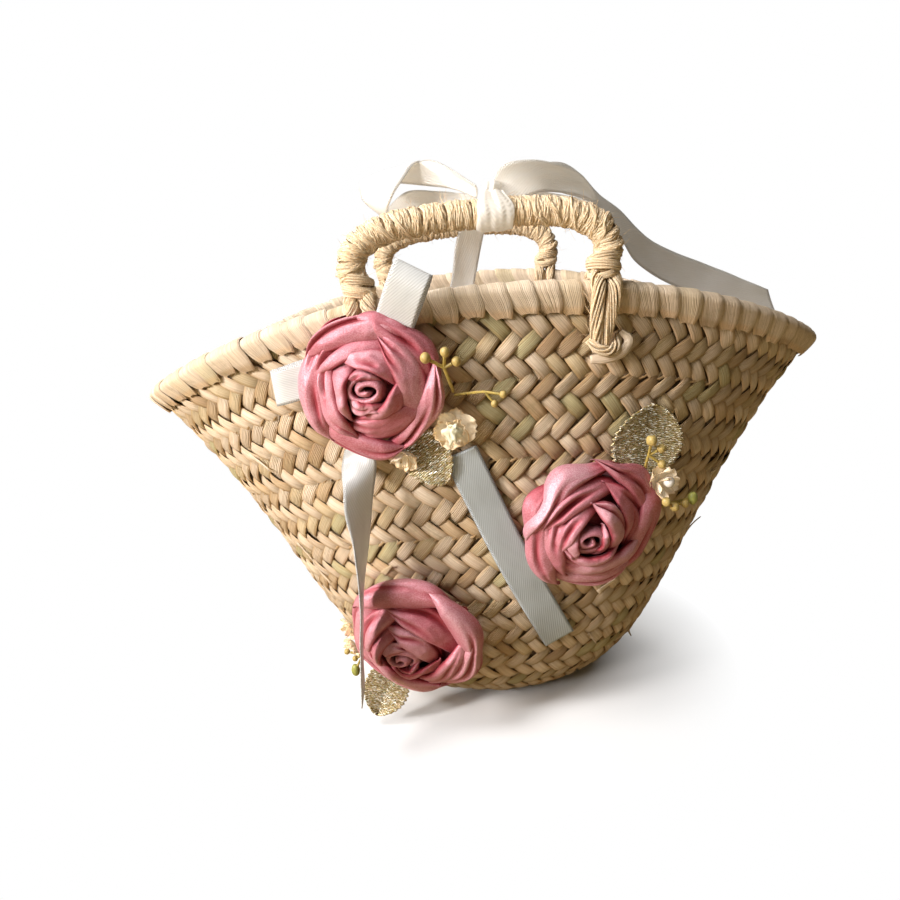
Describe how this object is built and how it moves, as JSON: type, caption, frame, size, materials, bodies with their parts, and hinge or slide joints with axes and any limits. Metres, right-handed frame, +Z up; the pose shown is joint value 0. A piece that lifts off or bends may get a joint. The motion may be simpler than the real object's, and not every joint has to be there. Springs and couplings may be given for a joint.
{
  "type": "flower girl basket",
  "caption": "Small flared palm-leaf basket with wrapped rope handles, a satin bow and rolled satin roses, carried by a flower girl to hold petals.",
  "frame": {"origin": "centre of the flat base, on the surface the basket stands on", "axes": "+Z up, +X along the mouth's long way to the right as seen from the decorated front, -Y out of the decorated front"},
  "size_m": [0.2208, 0.1293, 0.1746],
  "materials": {
    "palm": "woven palm leaf, satin",
    "rim_palm": "folded palm leaf, satin",
    "rope": "twisted rope",
    "sisal": "coarse sisal yarn",
    "cream_satin": "satin ribbon",
    "silver_satin": "satin ribbon",
    "rose_satin": "crepe-backed satin",
    "felt": "felt",
    "glue": "hot-melt glue",
    "gold_leaf": "glittered mesh",
    "paper": "matt paper",
    "paper_centre": "ruffled paper",
    "pearl": "pearl lacquer",
    "stem": "wire under paper tape",
    "berry": "matt lacquer",
    "green_berry": "matt lacquer"
  },
  "bodies": {
    "basket": {"basket_body": "palm", "rim_braid": "rim_palm", "front_left_lashing": "sisal", "front_right_lashing": "sisal", "back_left_lashing": "sisal", "back_right_lashing": "sisal", "rose_loop_left": "silver_satin", "rose_loop_top": "silver_satin", "rose_1_satin": "rose_satin", "rose_2_satin": "rose_satin", "rose_3_satin": "rose_satin", "rose_1_felt": "felt", "rose_2_felt": "felt", "rose_3_felt": "felt", "rose_1_glue": "glue", "rose_2_glue": "glue", "rose_3_glue": "glue", "leaf_1": "gold_leaf", "leaf_2": "gold_leaf", "leaf_3": "gold_leaf", "blossom_1a_petals": "paper", "blossom_1b_petals": "paper", "blossom_2_petals": "paper", "blossom_3a_petals": "paper", "blossom_3b_petals": "paper", "blossom_1a_centre": "paper_centre", "blossom_2_pearl": "pearl", "pick_1_stem": "stem", "twig_1_stem": "stem", "pick_2_stem": "stem", "spray_2_stem": "stem", "pick_3_stem": "stem", "pick_1_berry_1": "berry", "pick_1_berry_2": "berry", "pick_1_berry_3": "berry", "twig_1_berry_1": "berry", "twig_1_berry_2": "berry", "pick_2_berry_1": "berry", "pick_2_berry_2": "berry", "pick_2_berry_3": "berry", "spray_2_berry_1": "berry", "spray_2_berry_2": "berry", "spray_2_berry_3": "berry", "pick_3_berry_1": "berry", "pick_3_berry_2": "berry", "spray_2_berry_4": "green_berry", "pick_3_berry_3": "green_berry"},
    "front_handle": {"front_handle_core": "rope", "front_handle_wrap": "sisal", "bow_wrap": "cream_satin", "bow_knot": "cream_satin", "bow_loop_left": "cream_satin", "bow_loop_right": "cream_satin"},
    "back_handle": {"back_handle_core": "rope", "back_handle_wrap": "sisal"},
    "tail_right": {"bow_tail_right": "cream_satin"},
    "tail_back": {"bow_tail_back": "cream_satin"},
    "left_streamer": {"streamer_left": "silver_satin"},
    "right_streamer": {"streamer_right": "silver_satin"}
  },
  "joints": [
    {"name": "front_handle_swing", "type": "hinge", "parent": "basket", "child": "front_handle", "pos_m": [0, -0.0529, 0.1408], "axis": [1, 0, 0], "range_deg": [-18, 45]},
    {"name": "back_handle_swing", "type": "hinge", "parent": "basket", "child": "back_handle", "pos_m": [0, 0.0529, 0.1408], "axis": [-1, 0, 0], "range_deg": [-60, 75]},
    {"name": "tail_right_lift", "type": "hinge", "parent": "front_handle", "child": "tail_right", "pos_m": [0.0085, -0.0465, 0.1623], "axis": [0, -1, 0], "range_deg": [0, 30]},
    {"name": "tail_back_swing", "type": "hinge", "parent": "front_handle", "child": "tail_back", "pos_m": [0.0029, -0.0439, 0.1589], "axis": [1, 0, 0], "range_deg": [-8, 30]},
    {"name": "left_streamer_swing", "type": "hinge", "parent": "basket", "child": "left_streamer", "pos_m": [-0.0381, -0.0527, 0.0953], "axis": [-1, 0, 0], "range_deg": [0, 45]},
    {"name": "right_streamer_swing", "type": "hinge", "parent": "basket", "child": "right_streamer", "pos_m": [-0.0092, -0.0541, 0.0945], "axis": [-0.9313, 0.086, -0.3541], "range_deg": [0, 40]}
  ]
}
